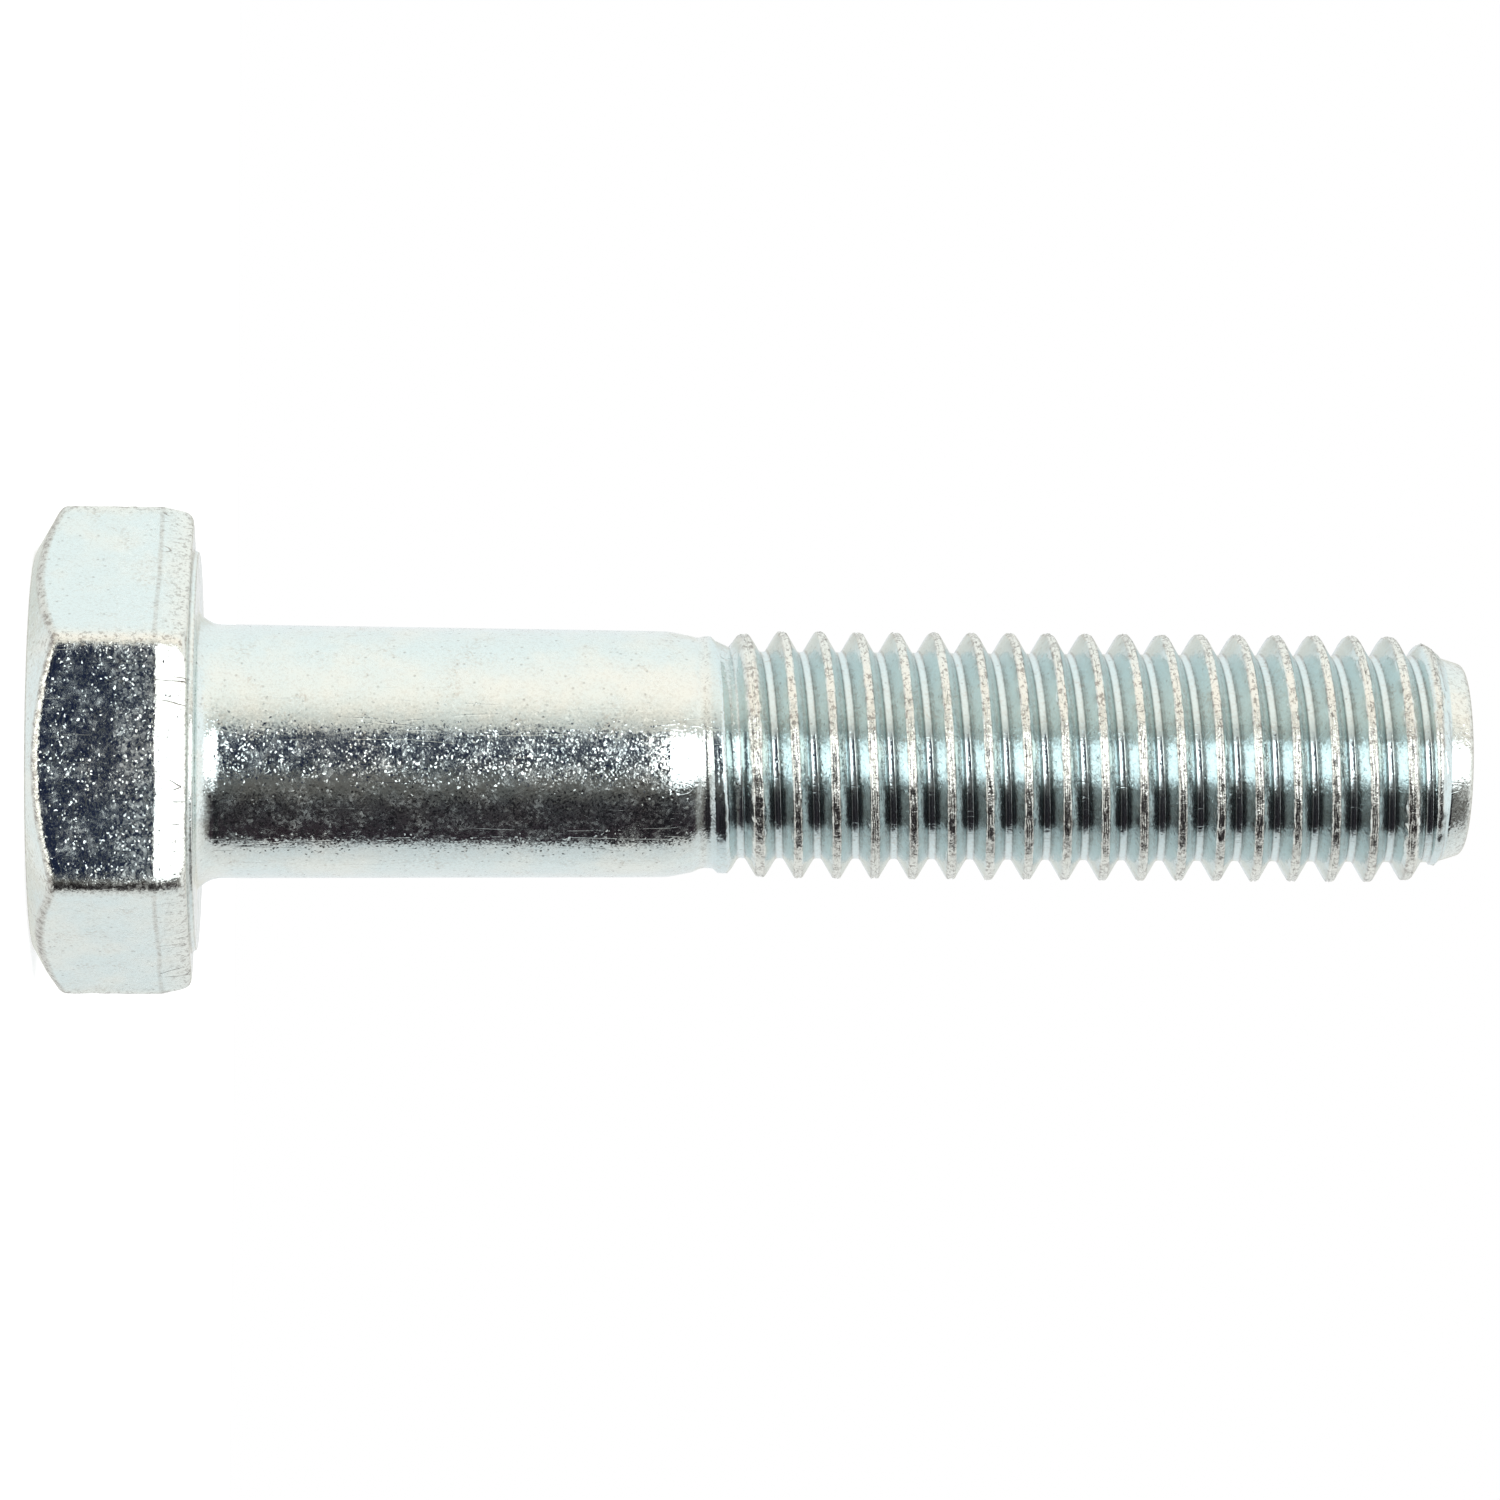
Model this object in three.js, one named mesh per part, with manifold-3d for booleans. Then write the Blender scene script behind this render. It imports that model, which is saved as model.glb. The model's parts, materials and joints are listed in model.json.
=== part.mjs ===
// Hex bolt, M10 x 50, with a plain shank, a coarse rolled thread and a washer face under the head.
// Millimetres. +Z runs along the axis from the head to the tip, and the origin is the centre of the
// head's flat top, so the bolt stands on its head on the plane z = 0. The wrench flats face +Y and -Y.
// Head, shank and thread are one forged and rolled piece of steel, so the bolt is a single solid.

import * as THREE from "three";
import { mergeVertices } from "three/addons/utils/BufferGeometryUtils.js";
import Module from "manifold-3d";

// Driving dimensions: head
const ACROSS_FLATS = 16.7; // takes a 17 mm spanner
const HEAD_HEIGHT = 6.4; // flat top to bearing face
const TOP_FLAT_DIAMETER = 15.4; // circle left by the chamfer of the top
const TOP_CHAMFER_ANGLE = 30; // degrees from the plane of the top
const WASHER_FACE_DIAMETER = 15.8;
const WASHER_FACE_HEIGHT = 0.22;
const TRIM_HEIGHT = 1.2; // the band that the trimming die leaves next to the washer face
const TRIM_DEPTH = 0.22; // how far each flat falls back across that band

// Driving dimensions: shank
const BOLT_LENGTH = 49.8; // bearing face to tip, 50 nominal
const SHANK_DIAMETER_AT_HEAD = 9.96;
const SHANK_DIAMETER_AT_THREAD = 9.68;
const FILLET_DEPTH = 0.5; // the fillet under the head is a quarter of an ellipse
const FILLET_LENGTH = 0.95;
const SHANK_LENGTH = 18.35; // bearing face to the cone that leads down to the thread
const LEAD_CONE_LENGTH = 1.9;

// Driving dimensions: thread, right-hand
const PITCH = 1.5;
const MAJOR_DIAMETER = 9.7;
const PITCH_DIAMETER = 8.93;
const MINOR_DIAMETER = 8.12;
const FLANK_ANGLE = 30; // degrees from the plane across the axis
const CREST_AT_X_AXIS = 28.49; // height of one crest where the thread passes over +X
const RUNOUT_START = 26.2; // the thread rises out of the blank between these two heights
const RUNOUT_END = 28.1;

// Driving dimensions: tip
// The crests lose height over the last two turns: [distance from the tip, largest diameter there].
const TIP_CREST_LIMITS = [
  [3.0, MAJOR_DIAMETER],
  [2.2, 9.5],
  [1.75, 9.2],
  [1.28, 8.68],
];
const TIP_CONE_DIAMETER = 8.04;
const TIP_CONE_LENGTH = 0.93;
const TIP_EDGE_DIAMETER = 7.48;
const TIP_EDGE_LENGTH = 0.1;
const TIP_FLAT_DIAMETER = 7.2;

// Fineness of the mesh
const CHAMFER_SEGMENTS = 72;
const SHANK_SEGMENTS = 36;
const FILLET_STEPS = 5;

const radians = THREE.MathUtils.degToRad;
const { clamp, lerp } = THREE.MathUtils;
const tipHeight = HEAD_HEIGHT + BOLT_LENGTH;

const wasm = await Module();
wasm.setup();

// ---- solids -----------------------------------------------------------------------------------

// Drops the triangles that merging has left with fewer than three different corners.
function withoutFlatTriangles(index) {
  const kept = [];
  for (let i = 0; i < index.length; i += 3) {
    const [a, b, c] = [index[i], index[i + 1], index[i + 2]];
    if (a !== b && b !== c && c !== a) kept.push(a, b, c);
  }
  return Uint32Array.from(kept);
}

function solidFrom(geometry) {
  const bare = geometry.clone();
  bare.deleteAttribute("normal");
  bare.deleteAttribute("uv");
  const merged = mergeVertices(bare, 1e-4);
  return new wasm.Manifold(
    new wasm.Mesh({
      numProp: 3,
      vertProperties: merged.attributes.position.array,
      triVerts: withoutFlatTriangles(merged.index.array),
    }),
  );
}

function geometryFrom(solid) {
  const mesh = solid.getMesh();
  const geometry = new THREE.BufferGeometry();
  geometry.setAttribute("position", new THREE.BufferAttribute(mesh.vertProperties, 3));
  geometry.setIndex(new THREE.BufferAttribute(mesh.triVerts, 1));
  geometry.computeVertexNormals();
  return geometry;
}

// Turns an outline of [radius, height] points, listed upwards, about the Z axis.
function turned(outline, segments) {
  const points = outline.map(([radius, height]) => new THREE.Vector2(radius, height));
  const lathe = new THREE.LatheGeometry(points, segments, radians(90));
  return solidFrom(lathe.rotateX(radians(90)));
}

// ---- head -------------------------------------------------------------------------------------

// A lathe of six segments is a hexagon. Its corners lie on the outline, so a flat is at cos 30 of it.
function hexagon() {
  const cornerRadius = (flatDistance) => flatDistance / Math.cos(radians(30));
  const underside = HEAD_HEIGHT - WASHER_FACE_HEIGHT;
  const outline = [
    [0, 0],
    [cornerRadius(ACROSS_FLATS / 2), 0],
    [cornerRadius(ACROSS_FLATS / 2), underside - TRIM_HEIGHT],
    [cornerRadius(ACROSS_FLATS / 2 - TRIM_DEPTH), underside],
    [0, underside],
  ];
  return turned(outline, 6);
}

function topChamfer() {
  const flat = TOP_FLAT_DIAMETER / 2;
  const clear = ACROSS_FLATS; // well outside the hexagon's corners
  const outline = [
    [0, 0],
    [flat, 0],
    [clear, (clear - flat) * Math.tan(radians(TOP_CHAMFER_ANGLE))],
    [clear, 2 * HEAD_HEIGHT],
    [0, 2 * HEAD_HEIGHT],
  ];
  return turned(outline, CHAMFER_SEGMENTS);
}

function washerFace() {
  const radius = WASHER_FACE_DIAMETER / 2;
  const outline = [
    [0, HEAD_HEIGHT / 2],
    [radius, HEAD_HEIGHT / 2],
    [radius, HEAD_HEIGHT],
    [0, HEAD_HEIGHT],
  ];
  return turned(outline, CHAMFER_SEGMENTS);
}

// ---- shank and thread -------------------------------------------------------------------------

// The outline below the thread: buried in the head, fillet, then the slightly tapered shank.
function shankOutline() {
  const radius = SHANK_DIAMETER_AT_HEAD / 2;
  const outline = [[radius + FILLET_DEPTH, HEAD_HEIGHT - WASHER_FACE_HEIGHT]];
  for (let i = 0; i <= FILLET_STEPS; i++) {
    const turn = radians((90 * i) / FILLET_STEPS);
    outline.push([
      radius + FILLET_DEPTH * (1 - Math.sin(turn)),
      HEAD_HEIGHT + FILLET_LENGTH * (1 - Math.cos(turn)),
    ]);
  }
  outline.push([SHANK_DIAMETER_AT_THREAD / 2, HEAD_HEIGHT + SHANK_LENGTH]);
  return outline;
}

// The blank under the thread: the lead cone, then a cylinder of the pitch diameter.
function blankRadius(height) {
  const along = (height - HEAD_HEIGHT - SHANK_LENGTH) / LEAD_CONE_LENGTH;
  return lerp(SHANK_DIAMETER_AT_THREAD / 2, PITCH_DIAMETER / 2, clamp(along, 0, 1));
}

// The thread's own form, by the distance along the axis from the middle of the nearest crest.
function formRadius(fromCrest) {
  const radius = PITCH_DIAMETER / 2 + (PITCH / 4 - fromCrest) / Math.tan(radians(FLANK_ANGLE));
  return clamp(radius, MINOR_DIAMETER / 2, MAJOR_DIAMETER / 2);
}

// Corners of the tip's envelope, as [height, radius].
const tipEnvelope = [...TIP_CREST_LIMITS, [TIP_CONE_LENGTH, TIP_CONE_DIAMETER]].map(
  ([distance, diameter]) => [tipHeight - distance, diameter / 2],
);

// The largest radius allowed at a height: full on the thread, then falling along the tip.
function envelopeRadius(height) {
  if (height <= tipEnvelope[0][0]) return tipEnvelope[0][1];
  for (let i = 1; i < tipEnvelope.length; i++) {
    const [lowHeight, lowRadius] = tipEnvelope[i - 1];
    const [highHeight, highRadius] = tipEnvelope[i];
    const along = (height - lowHeight) / (highHeight - lowHeight);
    if (along <= 1) return lerp(lowRadius, highRadius, along);
  }
  return tipEnvelope.at(-1)[1];
}

function threadRadius(turn, height) {
  const crests = (height - CREST_AT_X_AXIS) / PITCH - turn;
  const fromCrest = Math.abs(crests - Math.round(crests)) * PITCH;
  const grown = clamp((height - RUNOUT_START) / (RUNOUT_END - RUNOUT_START), 0, 1);
  const radius = lerp(blankRadius(height), formRadius(fromCrest), grown);
  return Math.min(radius, envelopeRadius(height));
}

// Where the form turns a corner, as distances along the axis from the middle of a crest.
function formCorners() {
  const crestHalf = PITCH / 4 - ((MAJOR_DIAMETER - PITCH_DIAMETER) / 2) * Math.tan(radians(FLANK_ANGLE));
  const rootHalf = PITCH / 4 - ((PITCH_DIAMETER - MINOR_DIAMETER) / 2) * Math.tan(radians(FLANK_ANGLE));
  return [-crestHalf, crestHalf, PITCH / 2 - rootHalf, PITCH / 2 + rootHalf];
}

// The rows of the surface from the head to the tip. A row gives [radius, height] at a turn from 0 to 1.
// Rows of the shank and the tip lie flat. Rows of the thread climb one pitch a turn along the corners
// of its form, held between the two ends of the thread, so each row's end meets the start of another.
function surfaceRows() {
  const threadStart = RUNOUT_START;
  const threadEnd = tipHeight - TIP_CONE_LENGTH;
  const flat = ([radius, height]) => () => [radius, height];
  const rows = shankOutline().map(flat);
  const corners = formCorners();
  const firstCrest = Math.floor((threadStart - CREST_AT_X_AXIS) / PITCH) - 2;
  const lastCrest = Math.ceil((threadEnd - CREST_AT_X_AXIS) / PITCH) + 2;
  for (let crest = firstCrest; crest <= lastCrest; crest++) {
    for (const corner of corners) {
      const start = CREST_AT_X_AXIS + crest * PITCH + corner;
      rows.push((turn) => {
        const height = clamp(start + turn * PITCH, threadStart, threadEnd);
        return [threadRadius(turn, height), height];
      });
    }
  }
  rows.push(flat([TIP_EDGE_DIAMETER / 2, tipHeight - TIP_EDGE_LENGTH]));
  rows.push(flat([TIP_FLAT_DIAMETER / 2, tipHeight]));
  return rows;
}

// A closed skin over the rows, with a point on the axis at each end.
function skin(rows, segments) {
  const positions = [];
  for (const row of rows) {
    for (let s = 0; s <= segments; s++) {
      const [radius, height] = row(s / segments);
      const angle = (s % segments) * ((2 * Math.PI) / segments);
      positions.push(radius * Math.cos(angle), radius * Math.sin(angle), height);
    }
  }
  const width = segments + 1;
  const bottom = rows.length * width;
  const top = bottom + 1;
  positions.push(0, 0, rows[0](0)[1], 0, 0, rows.at(-1)(0)[1]);

  const index = [];
  for (let s = 0; s < segments; s++) {
    index.push(bottom, s + 1, s);
    for (let r = 0; r < rows.length - 1; r++) {
      const low = r * width + s;
      const high = low + width;
      index.push(low, low + 1, high + 1, low, high + 1, high);
    }
    const last = (rows.length - 1) * width + s;
    index.push(last, last + 1, top);
  }
  const geometry = new THREE.BufferGeometry();
  geometry.setAttribute("position", new THREE.Float32BufferAttribute(positions, 3));
  geometry.setIndex(index);
  return geometry;
}

// ---- the bolt ---------------------------------------------------------------------------------

const zincPlate = new THREE.MeshStandardMaterial({
  color: new THREE.Color(0.78, 0.82, 0.84),
  roughness: 0.3,
  metalness: 1,
});

function hexBolt() {
  const head = hexagon().intersect(topChamfer()).add(washerFace());
  const shank = solidFrom(skin(surfaceRows(), SHANK_SEGMENTS));
  const bolt = new THREE.Mesh(geometryFrom(head.add(shank)), zincPlate);
  bolt.name = "hex_bolt";
  return bolt;
}

const model = new THREE.Group();
model.add(hexBolt());

export default model;
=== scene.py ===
"""Hex bolt, bright zinc plated, standing on its head in a white light tent and seen from the side.

The sizes are in millimetres and degrees. Blender gets metres, by way of MM.
The bolt's axis is +Z. The camera lies on its side, so the bolt runs across the picture from left to right.
"""

import json
import math
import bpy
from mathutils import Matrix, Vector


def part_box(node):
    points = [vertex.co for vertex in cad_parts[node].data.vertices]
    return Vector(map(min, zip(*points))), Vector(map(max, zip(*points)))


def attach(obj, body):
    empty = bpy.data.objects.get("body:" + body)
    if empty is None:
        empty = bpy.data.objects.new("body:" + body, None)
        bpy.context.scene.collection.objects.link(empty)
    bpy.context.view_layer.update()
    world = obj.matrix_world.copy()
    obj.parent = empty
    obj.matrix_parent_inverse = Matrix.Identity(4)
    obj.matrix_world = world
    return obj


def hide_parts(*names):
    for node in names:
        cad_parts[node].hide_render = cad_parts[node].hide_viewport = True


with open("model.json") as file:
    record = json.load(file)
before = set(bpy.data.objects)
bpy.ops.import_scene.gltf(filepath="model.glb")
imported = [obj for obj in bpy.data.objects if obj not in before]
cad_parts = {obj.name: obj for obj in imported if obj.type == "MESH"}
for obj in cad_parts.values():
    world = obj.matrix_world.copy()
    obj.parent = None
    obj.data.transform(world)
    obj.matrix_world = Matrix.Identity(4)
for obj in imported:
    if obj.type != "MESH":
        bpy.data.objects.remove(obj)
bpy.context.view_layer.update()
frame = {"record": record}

from types import SimpleNamespace

import bpy
import numpy as np
from mathutils import Quaternion, Vector

MM = 0.001

# ---- sizes read from the frame ----------------------------------------------------------------

mounts = {m["name"]: m for m in frame["record"]["mounts"]}
low, high = (np.array(corner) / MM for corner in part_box("hex_bolt"))
ACROSS_FLATS = high[1] - low[1]
TIP_HEIGHT = high[2]
HEAD_HEIGHT = mounts["bearing_face"]["pos_m"][2] / MM

# ---- sizes of the fine shape ------------------------------------------------------------------

TOP_FLAT_RADIUS = 7.7
TOP_CHAMFER = 30
CORNER_ROUNDING = 0.85
KEEN_CORNER_ROUNDING = 0.45  # on the two corners that lie on the X axis
WASHER_FACE_RADIUS = 7.9
WASHER_FACE_HEIGHT = 0.22
UNDERSIDE = HEAD_HEIGHT - WASHER_FACE_HEIGHT
TRIM_HEIGHT = 1.2  # the band that the trimming die leaves at the bottom of the flats
TRIM_DEPTH = 0.22
TRIM_START = UNDERSIDE - TRIM_HEIGHT

SHANK_RADIUS_AT_HEAD = 4.98
SHANK_RADIUS_AT_THREAD = 4.84
SHANK_END = HEAD_HEIGHT + 18.35
FILLET_DEPTH = 0.5
FILLET_LENGTH = 0.95
LEAD_CONE_LENGTH = 1.9

PITCH = 1.5
FLANK_ANGLE = 30
MAJOR_RADIUS = 4.85
PITCH_RADIUS = 4.465
MINOR_RADIUS = 4.06
CREST_AT_X_AXIS = 28.49
RIDGE_START = 25.7
GROOVE_START = 26.5
CREST_ROUNDING = 0.07
ROOT_ROUNDING = 0.055
SEAM_DEPTH = 0.07

# Pairs of heights: at the first a feature of the thread begins, and at the second it is full.
RIDGE_GROWTH = (RIDGE_START, RIDGE_START + 0.6)
LOW_CREST_GROWTH = (RIDGE_START, RIDGE_START + 0.5)
FULL_CREST_GROWTH = (26.6, 29.5)
ROOT_GROWTH = (GROOVE_START, GROOVE_START + 1.2)
LUMP_GROWTH = (26.4, 27.8)
WEAR_GROWTH = (26.9, 28)
ROOT_SOIL_AND_SHADE_GROWTH = (26.5, 28)
LIP_SOIL_GROWTH = (27, 28)

TIP_CONE_LENGTH = 0.93
TIP_CONE_RADIUS = 4.02
TIP_EDGE_RADIUS = 3.74
TIP_CONE_START = TIP_HEIGHT - TIP_CONE_LENGTH

# The crests lose height over the last two turns: distance from the tip, and the largest radius there.
TIP_CREST_LIMITS = [
    (3.0, MAJOR_RADIUS),
    (2.2, 4.75),
    (1.75, 4.6),
    (1.45, 4.46),
    (1.28, 4.34),
    (TIP_CONE_LENGTH, TIP_CONE_RADIUS),
]

COLUMNS_PER_FLAT = 28


# ---- helpers for shapes -----------------------------------------------------------------------

def smooth_step(low_edge, high_edge, value):
    t = np.clip((value - low_edge) / (high_edge - low_edge), 0, 1)
    return t * t * (3 - 2 * t)


def mix(a, b, share):
    return a + (b - a) * share


def smooth_min(a, b, width):
    return (a + b - np.sqrt((a - b) ** 2 + width**2)) / 2


def smooth_max(a, b, width):
    return (a + b + np.sqrt((a - b) ** 2 + width**2)) / 2


def hump(value, middle, width):
    """A bell curve over value: 1 at the middle, and 0.37 at a width to either side."""
    return np.exp(-(((value - middle) / width) ** 2))


def wander(place, seed, spacing):
    """A smooth random curve between -1 and 1, with one random value every spacing along place."""
    values = np.random.default_rng(seed).uniform(-1, 1, 4096)
    at = np.asarray(place) / spacing + 512
    whole = np.floor(at).astype(int)
    return mix(values[whole % 4096], values[(whole + 1) % 4096], smooth_step(0, 1, at - whole))


def column_turns():
    """Where the columns of the mesh stand, as turns from 0 to 1. They crowd at the hexagon's corners."""
    half = COLUMNS_PER_FLAT // 2
    spread = np.linspace(0, 1, half, endpoint=False) + 0.5 / half
    offsets = 30 * spread**1.5
    sector = np.concatenate([-offsets[::-1], offsets])
    degrees = np.concatenate([sector + 60 * corner for corner in range(6)])
    return np.sort(degrees % 360) / 360


TURNS = column_turns()
ANGLES = TURNS * 2 * math.pi
FROM_CORNER = np.abs((TURNS * 360 + 30) % 60 - 30)  # degrees from the nearest corner of the hexagon
ROUND_HEAD = TURNS * 60  # distance round the head, in millimetres near enough


def hexagon_radius(apothem, rounding):
    """Distance from the axis to a hexagon with rounded corners, for every column."""
    half_flat = math.radians(30)
    from_corner = np.radians(FROM_CORNER)
    flat = apothem / np.cos(half_flat - from_corner)
    centre = (apothem - rounding) / math.cos(half_flat)
    inside = np.maximum(rounding**2 - (centre * np.sin(from_corner)) ** 2, 0)
    arc = centre * np.cos(from_corner) + np.sqrt(inside)
    arc_end = np.arctan2(rounding * math.sin(half_flat), centre + rounding * math.cos(half_flat))
    return np.where(from_corner < arc_end, arc, flat)


LOOKS = ("edge", "rough", "thread", "soil")
RADIUS, EDGE, SOIL_AND_SHADE = 0, 2, 5  # where these values stand in a row


def row(radius, height, edge=0.0, rough=0.0, thread=0.0, soil=0.0):
    """One row of the skin: its radius, its height and four looks, for every column."""
    return np.array(np.broadcast_arrays(radius, height, edge, rough, thread, soil, ANGLES)[:6], float)


def softened(points, corners, steps=5):
    """Rows along the points, with a curve at each inner one. corners gives each its reach, wear and
    darkening, which is soil on edges and painted shade in creases.
    """
    rows = [points[0]]
    for before, corner, after, (reach, wear, soil) in zip(points, points[1:], points[2:], corners):
        way_in = np.hypot(*(corner - before)[:2])
        way_out = np.hypot(*(after - corner)[:2])
        reach = np.minimum(reach, 0.48 * np.minimum(way_in, way_out))
        start = mix(corner, before, reach / way_in)
        end = mix(corner, after, reach / way_out)
        for share in np.linspace(0, 1, steps):
            curved = mix(mix(start, corner, share), mix(corner, end, share), share)
            curved[EDGE] = np.maximum(curved[EDGE], wear * math.sin(math.pi * share))
            curved[SOIL_AND_SHADE] = np.maximum(curved[SOIL_AND_SHADE], soil * math.sin(math.pi * share))
            rows.append(curved)
    rows.append(points[-1])
    return rows


# ---- the bolt's outline -----------------------------------------------------------------------

def head_rows():
    at_corner = hump(FROM_CORNER, 0, 2.5)
    near_corner = 1 - smooth_step(1, 6, FROM_CORNER)
    rounding = mix(CORNER_ROUNDING, KEEN_CORNER_ROUNDING, smooth_step(0.9, 0.95, np.abs(np.cos(ANGLES))))
    side = hexagon_radius(ACROSS_FLATS / 2, rounding)
    trimmed = hexagon_radius(ACROSS_FLATS / 2 - TRIM_DEPTH, rounding + 0.15)
    chamfer_height = (side - TOP_FLAT_RADIUS) * math.tan(math.radians(TOP_CHAMFER))
    chamfer_height = chamfer_height + 0.02 * wander(ROUND_HEAD, 22, 0.4)
    trim_edge = TRIM_START + 0.04 * wander(ROUND_HEAD, 21, 1.7)
    outline = [
        row(0.96 * TOP_FLAT_RADIUS, 0),
        row(TOP_FLAT_RADIUS, 0),
        row(side, chamfer_height, edge=at_corner),
        row(side, trim_edge, edge=at_corner),
        row(trimmed, UNDERSIDE, edge=at_corner, rough=0.95),
        row(WASHER_FACE_RADIUS, UNDERSIDE),
        row(WASHER_FACE_RADIUS - 0.1, HEAD_HEIGHT),
        row(WASHER_FACE_RADIUS - 0.4, HEAD_HEIGHT),
    ]
    corners = [
        (0.22, 0.7, 0.6),
        (0.28, 1.0, 0.85 + 0.3 * wander(ROUND_HEAD, 24, 0.5)),
        (0.12, 0.45 + 0.35 * wander(ROUND_HEAD, 23, 0.3), 0.45),
        (mix(0.14, 0.4, near_corner), 0.8, 0.2),
        # the crease under the head, round the washer face: its darkening is painted shade
        (0.1, 0.3, 0.7),
        (0.08, 0.6, 0.2),
    ]
    rows = softened(outline, corners)
    side_start = 10  # the last row of the curve from the chamfer to the side
    rows[side_start + 1 : side_start + 1] = ragged_corners(rows[side_start], rows[side_start + 1], rounding)
    centre = [row(TOP_FLAT_RADIUS * share, 0) for share in (0, 0.2, 0.5, 0.8)]
    bearing = [row(radius, HEAD_HEIGHT) for radius in (7.0, 6.2, SHANK_RADIUS_AT_HEAD + FILLET_DEPTH)]
    return centre + rows + bearing


def ragged_corners(before, after, rounding, count=9):
    """Rows between two rows of the hexagon's sides, with a corner rounding that changes from row to row."""
    rows = []
    for number in range(1, count + 1):
        between = mix(before, after, number / (count + 1))
        swing = 0.3 * wander(number + 40 * TURNS, 25, 0.9)
        between[RADIUS] = hexagon_radius(ACROSS_FLATS / 2, rounding * (1 + swing))
        rows.append(between)
    return rows


def shank_rows():
    rows = []
    start = HEAD_HEIGHT + FILLET_LENGTH
    arc_radius = (FILLET_LENGTH**2 + FILLET_DEPTH**2) / (2 * FILLET_DEPTH)
    for left in np.linspace(FILLET_LENGTH, 0, 11)[1:]:
        depth = arc_radius - math.sqrt(arc_radius**2 - left**2)
        rows.append(row(SHANK_RADIUS_AT_HEAD + depth, start - left))
    for share in np.linspace(0, 1, 15)[1:-1]:
        radius = mix(SHANK_RADIUS_AT_HEAD, SHANK_RADIUS_AT_THREAD, share)
        rows.append(row(radius, mix(start, SHANK_END, share)))
    crisp_edge = [SHANK_END - 0.04, SHANK_END, SHANK_END + 0.04]
    lead_cone = [mix(SHANK_END, RIDGE_START, share) for share in np.linspace(0, 1, 7)[1:]]
    for height in crisp_edge + lead_cone:
        rows.append(row(blank_radius(height), height))
    return rows


def blank_radius(height):
    """The blank that the thread is rolled into: a lead cone with slightly soft ends, then a cylinder."""
    slope = (SHANK_RADIUS_AT_THREAD - PITCH_RADIUS) / LEAD_CONE_LENGTH
    cone = SHANK_RADIUS_AT_THREAD - slope * (height - SHANK_END)
    radius = smooth_min(cone, SHANK_RADIUS_AT_THREAD, 0.02)
    return smooth_max(radius, PITCH_RADIUS, 0.04)


def crest_limit(height):
    """The largest radius at a height: full on the thread, then falling to the tip's cone."""
    from_tip, radii = np.array(TIP_CREST_LIMITS).T
    return np.interp(height, TIP_HEIGHT - from_tip, radii)


def crest_radius(height, turns, offset):
    """The top of the thread, with the lumps and the half-closed seam that rolling leaves along it."""
    growth = mix(0.5, 1, smooth_step(*FULL_CREST_GROWTH, height)) * smooth_step(*LOW_CREST_GROWTH, height)
    crest = mix(PITCH_RADIUS, MAJOR_RADIUS, growth)
    crest = np.minimum(crest, crest_limit(height))
    seam = SEAM_DEPTH * smooth_step(-0.6, 0.4, wander(turns, 12, 0.05)) * hump(offset, 0, 0.03)
    lumps = 0.03 * wander(turns, 11, 0.012) + 0.035 * wander(turns + 7.3 * offset, 13, 0.007)
    return crest + (lumps - seam) * smooth_step(*LUMP_GROWTH, height)


def thread_soil_and_shade(height, turns, offset):
    """Dark lines on both sides of the root, part soil and part painted shade in the creases there, and soil
    in places along the crest's two lips.
    """
    from_crest = np.abs(offset)
    # painted shade with soil: darker lines in the creases where the flanks meet the root
    root_crease_soil_and_shade = hump(from_crest, PITCH / 2 - 0.15, 0.035) * smooth_step(*ROOT_SOIL_AND_SHADE_GROWTH, height)
    lip = hump(from_crest, 0.165, 0.04) * smooth_step(-0.5, 0.3, wander(turns, 16, 0.02))
    return root_crease_soil_and_shade + 0.8 * lip * smooth_step(*LIP_SOIL_GROWTH, height)


def thread_row(height, turns, offset):
    """A row of the thread. turns counts along the helix, and offset is measured from the crest's middle."""
    to_flank = PITCH / 4 - np.abs(offset)
    flank = PITCH_RADIUS + to_flank / math.tan(math.radians(FLANK_ANGLE))
    crest = crest_radius(height, turns, offset)
    root = mix(PITCH_RADIUS, MINOR_RADIUS, smooth_step(*ROOT_GROWTH, height))
    radius = smooth_min(flank, crest, CREST_ROUNDING)
    radius = smooth_max(radius, root, ROOT_ROUNDING)
    grown = smooth_step(*RIDGE_GROWTH, height)
    radius = mix(blank_radius(height), radius, grown)
    radius = mix(radius, TIP_CONE_RADIUS, smooth_step(TIP_CONE_START - 0.1, TIP_CONE_START, height))
    rough = smooth_step(-0.08, 0.03, flank - crest) * smooth_step(*WEAR_GROWTH, height)
    rough = np.maximum(rough, 0.6 * hump(height, RIDGE_START + 0.45, 0.2))
    rough = rough * (1 - smooth_step(TIP_CONE_START - 0.42, TIP_CONE_START - 0.3, height))
    return row(radius, height, rough=rough, thread=grown, soil=thread_soil_and_shade(height, turns, offset))


def thread_offsets():
    """Rows across one pitch, measured from the crest's middle: crest, flank, root, flank."""
    crest = [-0.2, -0.155, -0.11, -0.07, -0.035, 0, 0.035, 0.07, 0.11, 0.155, 0.2]
    half_root = [0.02, 0.07, 0.12, 0.16, 0.2]
    root = [PITCH / 2 - d for d in half_root[::-1]] + [PITCH / 2 + d for d in half_root]
    return crest + [PITCH / 4] + root + [3 * PITCH / 4]


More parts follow.
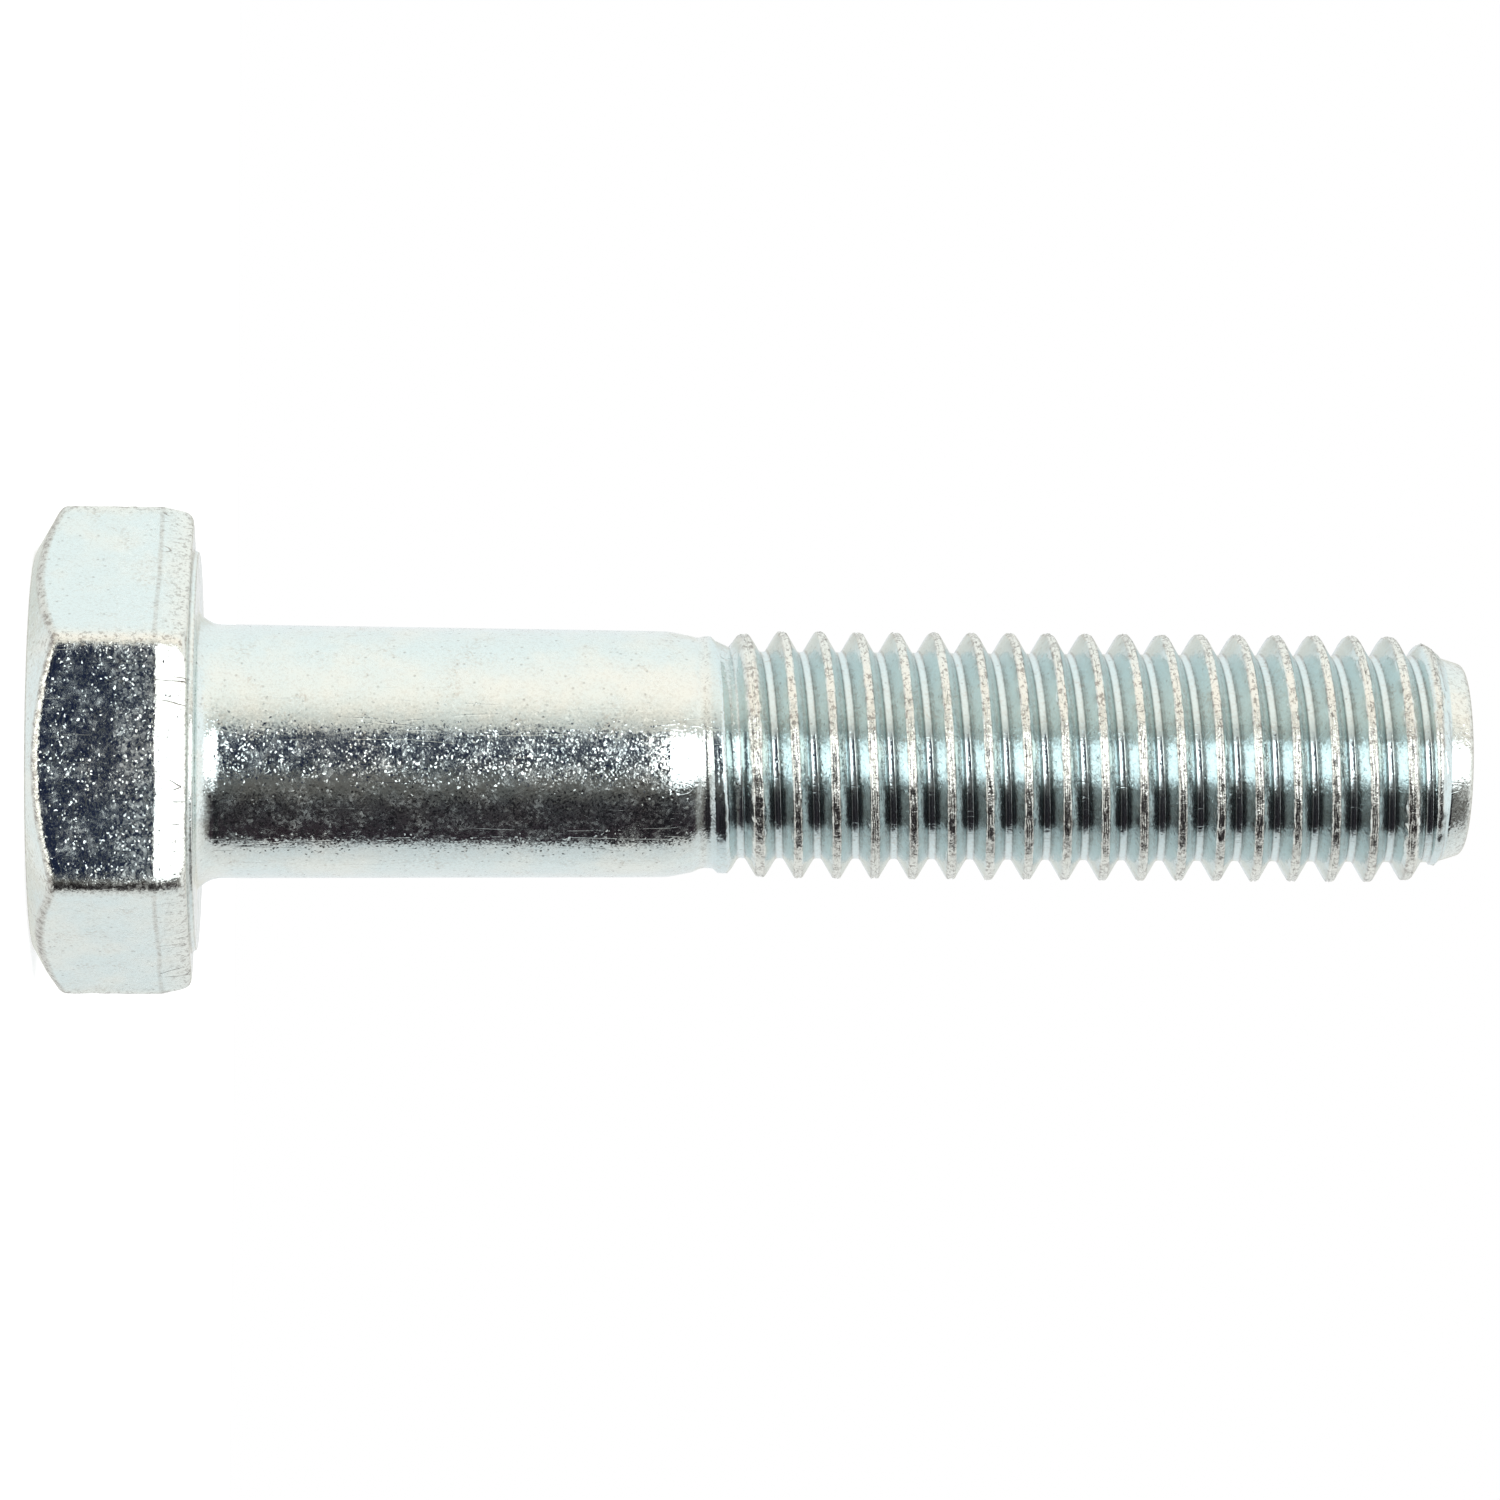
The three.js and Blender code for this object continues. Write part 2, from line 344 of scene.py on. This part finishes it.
def thread_rows():
    """Rows that climb one pitch a turn, pressed flat against the two ends of the thread."""
    offsets = thread_offsets()
    first = math.floor((RIDGE_START - CREST_AT_X_AXIS) / PITCH) - 2
    last = math.ceil((TIP_CONE_START - CREST_AT_X_AXIS) / PITCH) + 2
    rows = []
    for crest in range(first, last + 1):
        for offset in offsets:
            turns = TURNS + crest
            sway = 0.02 * wander(turns, 14, 0.09) + 0.02 * wander(turns, 15, 0.015)
            sway = sway * hump(offset, 0, 0.15)
            height = CREST_AT_X_AXIS + turns * PITCH + offset + sway
            height = np.clip(height, RIDGE_START, TIP_CONE_START)
            from_crest = offset if offset <= PITCH / 2 else offset - PITCH
            rows.append(thread_row(height, turns, from_crest))
    return rows


def tip_rows():
    outline = [
        row(TIP_CONE_RADIUS, TIP_CONE_START, rough=0.3),
        row(TIP_EDGE_RADIUS, TIP_HEIGHT - 0.04, rough=0.65),
        row(TIP_EDGE_RADIUS - 0.6, TIP_HEIGHT, rough=0.3),
    ]
    rows = softened(outline, [(0.24, 0.9, 0.4)], steps=7)
    rows[1:1] = [mix(rows[0], rows[1], share) for share in (0.1, 0.5)]
    dish = [(2.6, 0.04), (1.9, 0.1), (1.0, 0.12), (0, 0.12)]  # radius, depth
    return rows + [row(radius, TIP_HEIGHT - depth, rough=0.5) for radius, depth in dish]


# ---- the mesh ---------------------------------------------------------------------------------

def skin(flat_before, climbing, flat_after, rows_per_turn):
    """Points, faces and looks of the closed surface. The end of a climbing row meets the row a turn on."""
    rows = np.array(flat_before + climbing + flat_after)
    radius, height, *looks = rows.transpose(1, 0, 2)
    points = np.stack([radius * np.cos(ANGLES), radius * np.sin(ANGLES), height], axis=-1)
    count, width = radius.shape
    first, beyond = len(flat_before), len(flat_before) + len(climbing)
    numbers = np.arange(count)
    climbs = (numbers >= first) & (numbers < beyond)
    meets = np.where(climbs, np.minimum(numbers + rows_per_turn, beyond), numbers)
    index = numbers[:, None] * width + np.arange(width)
    index = np.concatenate([index, (meets * width)[:, None]], axis=1)
    quads = np.stack([index[:-1, :-1], index[:-1, 1:], index[1:, 1:], index[1:, :-1]], axis=-1)
    return points.reshape(-1, 3), quads.reshape(-1, 4), [look.reshape(-1) for look in looks]


def welded(points, quads):
    """Joins points that lie in one place, and drops the corners and faces that this empties."""
    keys = np.round(points * 1e5).astype(np.int64)
    _, kept, where = np.unique(keys, axis=0, return_index=True, return_inverse=True)
    quads = where.reshape(-1)[quads]
    faces = []
    for quad in quads.tolist():
        corners = [c for i, c in enumerate(quad) if c != quad[i - 1]]
        if len(set(corners)) >= 3:
            faces.append(corners)
    return points[kept], faces, kept


def build_bolt():
    before = head_rows() + shank_rows()
    climbing = thread_rows()
    points, quads, looks = skin(before, climbing, tip_rows(), len(thread_offsets()))
    points, faces, kept = welded(points, quads)
    mesh = bpy.data.meshes.new("zinc_bolt")
    mesh.from_pydata((points * MM).tolist(), [], faces)
    mesh.shade_smooth()
    for name, values in zip(LOOKS, looks):
        attribute = mesh.attributes.new(name, "FLOAT", "POINT")
        attribute.data.foreach_set("value", values[kept].astype(np.float32))
    mesh.update()
    bolt = bpy.data.objects.new("zinc_bolt", mesh)
    bpy.context.scene.collection.objects.link(bolt)
    return bolt


bolt = build_bolt()


# ---- node helpers -----------------------------------------------------------------------------

def add_node(tree, kind, inputs=None, **settings):
    """A new node with its settings, and with each input either linked or set."""
    node = tree.nodes.new(kind)
    for name, value in settings.items():
        setattr(node, name, value)
    for name, value in (inputs or {}).items():
        if isinstance(value, bpy.types.NodeSocket):
            tree.links.new(value, node.inputs[name])
        else:
            node.inputs[name].default_value = value
    return node


def calculate(tree, operation, *values):
    return add_node(tree, "ShaderNodeMath", dict(enumerate(values)), operation=operation).outputs[0]


def product(tree, first, *others):
    for other in others:
        first = calculate(tree, "MULTIPLY", first, other)
    return first


def all_but(tree, value, amount):
    """1 where value is 0, and 1 - amount where value is 1."""
    return calculate(tree, "MULTIPLY_ADD", value, -amount, 1.0)


def vector_math(tree, operation, inputs):
    return add_node(tree, "ShaderNodeVectorMath", inputs, operation=operation).outputs["Vector"]


def remap(tree, value, from_min, from_max, to_min=0.0, to_max=1.0):
    """A smooth step in value, from to_min at from_min to to_max at from_max."""
    inputs = {"Value": value, "From Min": from_min, "From Max": from_max}
    inputs.update({"To Min": to_min, "To Max": to_max})
    return add_node(tree, "ShaderNodeMapRange", inputs, interpolation_type="SMOOTHSTEP").outputs["Result"]


def weighted_sum(tree, pairs):
    total = 0.0
    for value, weight in pairs:
        total = calculate(tree, "MULTIPLY_ADD", value, weight, total)
    return total


def painted(tree, over, colour, cover):
    """The colour laid over another one, as thickly as cover says."""
    node = add_node(tree, "ShaderNodeMix", {"Factor": cover}, data_type="RGBA")
    for name, value in (("A", over), ("B", colour)):
        socket = next(s for s in node.inputs if s.name == name and s.type == "RGBA")
        if isinstance(value, bpy.types.NodeSocket):
            tree.links.new(value, socket)
        else:
            socket.default_value = (*value, 1)
    return next(s for s in node.outputs if s.type == "RGBA")


def noise(tree, place, size, detail=2.0, roughness=0.6, shift=0.0):
    """Noise from 0 to 1, with lumps of the given size in millimetres. Each shift gives another pattern."""
    inputs = {"Vector": place, "W": shift, "Scale": 1 / (size * MM)}
    inputs.update({"Detail": detail, "Roughness": roughness})
    return add_node(tree, "ShaderNodeTexNoise", inputs, noise_dimensions="4D").outputs["Fac"]


# ---- material ---------------------------------------------------------------------------------

ZINC_BLUE = (0.665, 0.75, 0.745)
ZINC_CREAM = (0.73, 0.765, 0.725)
ZINC_TEAL = (0.615, 0.72, 0.73)
WORN_CREAM = (0.765, 0.77, 0.71)
STAIN = (0.50, 0.47, 0.42)
SPECK_AND_SHADE = (0.24, 0.22, 0.20)
THREAD_CALM = 0.3  # the share of the crystals' tilt that rolling has smoothed away on the thread


def crystals(tree, place, size, share, shift):
    """Small separate domes, on about the given share of the cells of a random pattern."""
    moved = vector_math(tree, "ADD", {0: place, 1: (shift, 2 * shift, 0.7 * shift)})
    cells = add_node(tree, "ShaderNodeTexVoronoi", {"Vector": moved, "Scale": 1 / (size * MM)})
    chance = add_node(tree, "ShaderNodeSeparateColor", {"Color": cells.outputs["Color"]}).outputs["Red"]
    chosen = calculate(tree, "GREATER_THAN", chance, 1 - share)
    return product(tree, chosen, remap(tree, cells.outputs["Distance"], 0.0, 0.42, 1.0, 0.0))


def grain_cells(tree, place, size):
    """A random colour for each crystal grain of about the given size, in millimetres."""
    bend = add_node(tree, "ShaderNodeTexNoise", {"Vector": place, "Scale": 1 / (0.2 * MM), "Detail": 1.0})
    shift = vector_math(tree, "SCALE", {0: bend.outputs["Color"], "Scale": 0.16 * MM})
    moved = vector_math(tree, "ADD", {0: place, 1: shift})
    inputs = {"Vector": moved, "Scale": 1 / (size * MM)}
    return add_node(tree, "ShaderNodeTexVoronoi", inputs).outputs["Color"]


def grain_chance(tree, cells, power):
    """A random number from 0 to 1 for each grain. A high power makes high numbers rare."""
    parts = add_node(tree, "ShaderNodeSeparateColor", {"Color": cells}).outputs
    mixed = weighted_sum(tree, [(parts["Red"], 17.0), (parts["Green"], 29.0), (parts["Blue"], 41.0)])
    return calculate(tree, "POWER", calculate(tree, "FRACT", mixed), power)


def facets(tree, cells, spread):
    """Tilts of small flat crystals: mostly slight, and now and then steep. spread scales them all."""
    chance = grain_chance(tree, cells, 5.0)
    amount = product(tree, calculate(tree, "MULTIPLY_ADD", chance, 0.30, 0.06), spread)
    centred = vector_math(tree, "SUBTRACT", {0: cells, 1: (0.5, 0.5, 0.5)})
    return vector_math(tree, "SCALE", {0: centred, "Scale": amount})


def scratches(tree, place, turn, shift):
    """Fine lines that run mostly along one direction, with long gaps between them."""
    inputs = {"Vector": place, "Rotation": [math.radians(a) for a in turn], "Scale": (1.0, 1.0, 0.05)}
    along = add_node(tree, "ShaderNodeMapping", inputs).outputs["Vector"]
    streaks = noise(tree, along, 0.7, detail=1.0, shift=shift)
    from_middle = calculate(tree, "ABSOLUTE", calculate(tree, "SUBTRACT", streaks, 0.5))
    line = remap(tree, from_middle, 0.0, 0.012, 1.0, 0.0)
    return product(tree, line, remap(tree, noise(tree, place, 2.2, shift=shift), 0.52, 0.62))


# The trimming die has dulled the hexagon's faces between these two heights above the head's top.
DULL_START = 3.4
DULL_END = 5.85


def between_heights(tree, place, start, end, start_blur, end_blur):
    """1 between two heights in millimetres, and 0 beyond them."""
    height = add_node(tree, "ShaderNodeSeparateXYZ", {"Vector": place}).outputs["Z"]
    rise = remap(tree, height, (start - start_blur) * MM, (start + start_blur) * MM)
    fall = remap(tree, height, (end - end_blur) * MM, (end + end_blur) * MM, 1.0, 0.0)
    return product(tree, rise, fall)


def zinc_patterns(tree):
    """The mesh's looks and the noises that the plating's relief, colour and gloss share."""
    place = add_node(tree, "ShaderNodeTexCoord").outputs["Object"]
    looks = {}
    for name in LOOKS:
        looks[name] = add_node(tree, "ShaderNodeAttribute", attribute_name=name).outputs["Fac"]
    on_trim = between_heights(tree, place, TRIM_START, HEAD_HEIGHT - 0.1, 0.05, 0.1)
    plain = all_but(tree, looks["thread"], 0.75)
    return SimpleNamespace(
        **looks,
        place=place,
        plain=plain,
        worn=calculate(tree, "MAXIMUM", looks["edge"], looks["rough"]),
        swell=noise(tree, place, 1.1, detail=3.0),
        grain=noise(tree, place, 0.11, detail=1.0, shift=2.0),
        lumps=noise(tree, place, 0.16, detail=3.0, shift=3.0),
        flecks=noise(tree, place, 0.2, detail=4.0, roughness=0.75, shift=9.0),
        pits=crystals(tree, place, 0.22, 0.12, 0.01),
        cracks=product(tree, scratches(tree, place, (0, 3, 4), 8.0), on_trim),
        haze=product(tree, remap(tree, noise(tree, place, 0.7, detail=4.0, shift=7.0), 0.42, 0.68), plain),
    )


def zinc_relief(tree, plate):
    """The height of the surface, in millimetres."""
    hammered = noise(tree, plate.place, 0.34, shift=1.0)
    along_hairs = scratches(tree, plate.place, (0, 52, 0), 4.0)
    across_hairs = scratches(tree, plate.place, (8, -30, 4), 5.0)
    parts = [
        (plate.swell, product(tree, plate.plain, 0.010)),
        (hammered, product(tree, plate.plain, 0.007)),
        (plate.grain, product(tree, plate.plain, 0.005)),
        (plate.pits, product(tree, plate.plain, -0.008)),
        (calculate(tree, "ADD", along_hairs, across_hairs), -0.003),
        (plate.cracks, -0.012),
        (plate.lumps, product(tree, plate.worn, 0.03)),
    ]
    return weighted_sum(tree, parts)


def zinc_normal(tree, plate):
    """The relief, and on top of it the tilt of each crystal."""
    relief = {"Height": zinc_relief(tree, plate), "Strength": 1.0, "Distance": MM}
    bump = add_node(tree, "ShaderNodeBump", relief)
    clumps = remap(tree, plate.swell, 0.35, 0.65, 0.55, 1.25)
    spread = product(tree, clumps, all_but(tree, plate.thread, THREAD_CALM))
    tilts = facets(tree, grain_cells(tree, plate.place, 0.075), spread)
    tilted = vector_math(tree, "ADD", {0: bump.outputs["Normal"], 1: tilts})
    return vector_math(tree, "NORMALIZE", {0: tilted})


def zinc_colour(tree, plate):
    tone = noise(tree, plate.place, 3.1, detail=3.0, shift=6.0)
    clean_thread = product(tree, plate.thread, calculate(tree, "MULTIPLY_ADD", plate.rough, -0.9, 0.9))
    mottled = remap(tree, plate.lumps, 0.48, 0.62, 0.0, 0.5)
    stained = product(tree, remap(tree, plate.swell, 0.53, 0.66), mottled)
    layers = [
        (ZINC_CREAM, remap(tree, tone, 0.42, 0.68)),
        (ZINC_TEAL, clean_thread),
        (STAIN, stained),
        (STAIN, remap(tree, plate.grain, 0.45, 0.7, 0.0, 0.22)),
        (WORN_CREAM, product(tree, plate.worn, 0.8)),
        (SPECK_AND_SHADE, product(tree, plate.worn, remap(tree, plate.flecks, 0.50, 0.60, 0.0, 0.75))),
        # dark soil on edges and lips, and painted shade in the creases beside the thread's root and under
        # the head
        (SPECK_AND_SHADE, product(tree, plate.soil, remap(tree, plate.flecks, 0.4, 0.6, 0.35, 0.85))),
        (SPECK_AND_SHADE, product(tree, plate.pits, 0.5)),
        (SPECK_AND_SHADE, product(tree, plate.cracks, 0.85)),
    ]
    colour = ZINC_BLUE
    for layer, cover in layers:
        colour = painted(tree, colour, layer, cover)
    return colour


def zinc_metallic(tree, plate):
    """1 on clear plating, and less on the duller grains, which gather in clouds and where the die rubbed."""
    rubbed = between_heights(tree, plate.place, DULL_START, DULL_END, 0.1, 0.25)
    cloudy = weighted_sum(tree, [(plate.haze, 0.85), (rubbed, 0.85), (1.0, 0.06)])
    dull_grains = grain_chance(tree, grain_cells(tree, plate.place, 0.11), 2.5)
    film = product(tree, dull_grains, cloudy, all_but(tree, plate.thread, 0.95))
    return all_but(tree, film, 0.31)


def zinc_material():
    """Bright zinc plate on forged and rolled steel: clear, bluish, finely grained, with pale worn edges."""
    material = bpy.data.materials.new("zinc_plate")
    material.use_nodes = True
    tree = material.node_tree
    tree.nodes.clear()
    plate = zinc_patterns(tree)
    roughness = [(plate.haze, 0.12), (plate.thread, 0.06), (plate.worn, 0.05), (1.0, 0.085)]
    inputs = {
        "Base Color": zinc_colour(tree, plate),
        "Metallic": zinc_metallic(tree, plate),
        "Roughness": weighted_sum(tree, roughness),
        "Normal": zinc_normal(tree, plate),
    }
    shader = add_node(tree, "ShaderNodeBsdfPrincipled", inputs)
    add_node(tree, "ShaderNodeOutputMaterial", {"Surface": shader.outputs["BSDF"]})
    return material


bolt.data.materials.append(zinc_material())
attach(bolt, "root")
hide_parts("hex_bolt")


# ---- studio -----------------------------------------------------------------------------------

FLOOR_RADIUS = 300
FLOOR_GLOW = 0.66
CAMERA_DISTANCE = 275.7
CAMERA_LENS = 168.1
CAMERA_AIM = (-0.19, 0, TIP_HEIGHT / 2 - 0.06)
CAMERA_TURN = (-3.3, -2.709, 90.394)  # azimuth from -Y towards +X, elevation and roll

# The tent as the bolt sees it: colour by direction, in degrees from the camera's side (-Y) towards +X.
TENT = [
    (-180, (0.92, 0.94, 0.96)),
    (-150, (1.08, 1.10, 1.10)),
    (-113, (1.17, 1.19, 1.18)),
    (-80, (1.28, 1.22, 1.16)),
    (-58, (1.28, 1.21, 1.13)),
    (-45, (1.12, 1.06, 0.98)),
    (-31, (0.80, 0.78, 0.73)),
    (-24, (0.52, 0.51, 0.49)),
    (-20, (0.11, 0.12, 0.14)),
    (-8, (0.055, 0.065, 0.095)),
    (12, (0.075, 0.08, 0.085)),
    (22, (0.16, 0.155, 0.15)),
    (34, (0.12, 0.115, 0.11)),
    (46, (0.06, 0.055, 0.06)),
    (84, (0.032, 0.020, 0.028)),
    (93, (0.78, 0.79, 0.80)),
    (126, (1.00, 1.01, 1.01)),
    (150, (0.97, 0.98, 0.99)),
    (180, (0.92, 0.94, 0.96)),
]
TENT_ROOF = (1.2, 1.2, 1.2)
FRONT_LIGHT = (2.6, 2.65, 2.7)
FRONT_GLOW = (2.4, 2.4, 2.3)
SIDE_PANEL = (1.08, 1.08, 1.08)
SIDE_GLOW = (0.20, 0.19, 0.18)
BACK_PANEL = (0.86, 0.85, 0.80)
DEEP_FRONT = (0.012, 0.018, 0.048)
DEEP_SIDE = (0.014, 0.013, 0.016)


def tent_world():
    """A white tent with a dark opening round the camera and to its right, and a light over the opening."""
    world = bpy.data.worlds.new("light_tent")
    world.use_nodes = True
    tree = world.node_tree
    tree.nodes.clear()
    direction = add_node(tree, "ShaderNodeTexCoord").outputs["Generated"]
    parts = add_node(tree, "ShaderNodeSeparateXYZ", {"Vector": direction})
    toward_front = product(tree, parts.outputs["Y"], -1.0)
    azimuth = calculate(tree, "ARCTAN2", parts.outputs["X"], toward_front)
    azimuth = product(tree, azimuth, 180 / math.pi)
    elevation = product(tree, calculate(tree, "ARCSINE", parts.outputs["Z"]), 180 / math.pi)
    share = calculate(tree, "MULTIPLY_ADD", azimuth, 1 / 360, 0.5)
    ramp = add_node(tree, "ShaderNodeValToRGB", {"Fac": share})
    stops = ramp.color_ramp.elements
    for stop, (_, colour) in zip(stops, (TENT[0], TENT[-1])):
        stop.color = (*colour, 1)
    for degrees, colour in TENT[1:-1]:
        stops.new(degrees / 360 + 0.5).color = (*colour, 1)

    def within(angle, low_edge, high_edge, low_blur, high_blur):
        rise = remap(tree, angle, low_edge - low_blur, low_edge + low_blur)
        fall = remap(tree, angle, high_edge - high_blur, high_edge + high_blur, 1.0, 0.0)
        return product(tree, rise, fall)

    def panel(over, colour, across, up):
        return painted(tree, over, colour, product(tree, across, up))

    in_front = within(azimuth, -24, 18, 5, 7)
    under_light = within(azimuth, -22, 20, 5, 11)
    under_high_light = within(azimuth, -22, 25, 5, 9)
    beside = within(azimuth, 18, 92, 7, 4)
    behind = calculate(tree, "SUBTRACT", 1.0, within(azimuth, -158, 158, 8, 8))
    slope = calculate(tree, "ABSOLUTE", elevation)
    steep = remap(tree, slope, 3, 8)
    gentle = within(slope, 3, 20, 1, 5)
    colour = ramp.outputs["Color"]
    colour = panel(colour, DEEP_FRONT, in_front, remap(tree, elevation, -2.8, -2.1, 1.0, 0.0))
    colour = panel(colour, BACK_PANEL, behind, steep)
    colour = panel(colour, DEEP_SIDE, within(azimuth, 36, 90, 8, 4), gentle)
    colour = panel(colour, SIDE_GLOW, beside, remap(tree, elevation, 27, 38))
    colour = panel(colour, SIDE_PANEL, beside, remap(tree, elevation, 36, 66))
    colour = panel(colour, SIDE_PANEL, beside, remap(tree, elevation, -40, -28, 1.0, 0.0))
    colour = panel(colour, FRONT_LIGHT, under_light, remap(tree, elevation, 4.8, 9))
    colour = panel(colour, FRONT_LIGHT, under_high_light, remap(tree, elevation, 14, 20))
    colour = painted(tree, colour, TENT_ROOF, remap(tree, elevation, 55, 65))
    colour = painted(tree, colour, SIDE_PANEL, remap(tree, elevation, -50, -40, 1.0, 0.0))
    colour = panel(colour, FRONT_GLOW, in_front, remap(tree, elevation, -24, -17, 1.0, 0.0))
    seen = add_node(tree, "ShaderNodeLightPath").outputs["Is Camera Ray"]
    colour = painted(tree, colour, (1, 1, 1), seen)
    background = add_node(tree, "ShaderNodeBackground", {"Color": colour, "Strength": 1.0})
    add_node(tree, "ShaderNodeOutputWorld", {"Surface": background.outputs["Background"]})
    return world


def pale_floor():
    """A glowing white floor that isn't seen in the bolt, which mirrors the tent alone."""
    radius = FLOOR_RADIUS * MM
    turns = np.linspace(0, 2 * math.pi, 96, endpoint=False)
    rim = [(radius * math.cos(a), radius * math.sin(a), 0) for a in turns]
    mesh = bpy.data.meshes.new("floor")
    mesh.from_pydata(rim, [], [tuple(range(len(rim)))])
    floor = bpy.data.objects.new("floor", mesh)
    bpy.context.scene.collection.objects.link(floor)
    floor.visible_glossy = False
    material = bpy.data.materials.new("light_table")
    material.use_nodes = True
    tree = material.node_tree
    tree.nodes.clear()
    inputs = {"Base Color": (0.5, 0.5, 0.5, 1), "Roughness": 0.9}
    inputs.update({"Emission Color": (1, 1, 1, 1), "Emission Strength": FLOOR_GLOW})
    shader = add_node(tree, "ShaderNodeBsdfPrincipled", inputs)
    add_node(tree, "ShaderNodeOutputMaterial", {"Surface": shader.outputs["BSDF"]})
    mesh.materials.append(material)


def side_camera():
    """The camera lies on its side, so that the bolt's axis runs across the picture."""
    azimuth, elevation, roll = (math.radians(angle) for angle in CAMERA_TURN)
    level = math.cos(elevation)
    back = Vector((math.sin(azimuth) * level, -math.cos(azimuth) * level, math.sin(elevation)))
    camera = bpy.data.cameras.new("camera")
    camera.lens = CAMERA_LENS
    camera.clip_start = 0.01
    camera.clip_end = 10
    thing = bpy.data.objects.new("camera", camera)
    thing.rotation_mode = "QUATERNION"
    thing.rotation_quaternion = (-back).to_track_quat("-Z", "Y") @ Quaternion((0, 0, 1), roll)
    thing.location = (Vector(CAMERA_AIM) + back * CAMERA_DISTANCE) * MM
    bpy.context.scene.collection.objects.link(thing)
    bpy.context.scene.camera = thing


pale_floor()
side_camera()
scene = bpy.context.scene
scene.world = tent_world()
scene.view_settings.view_transform = "Standard"
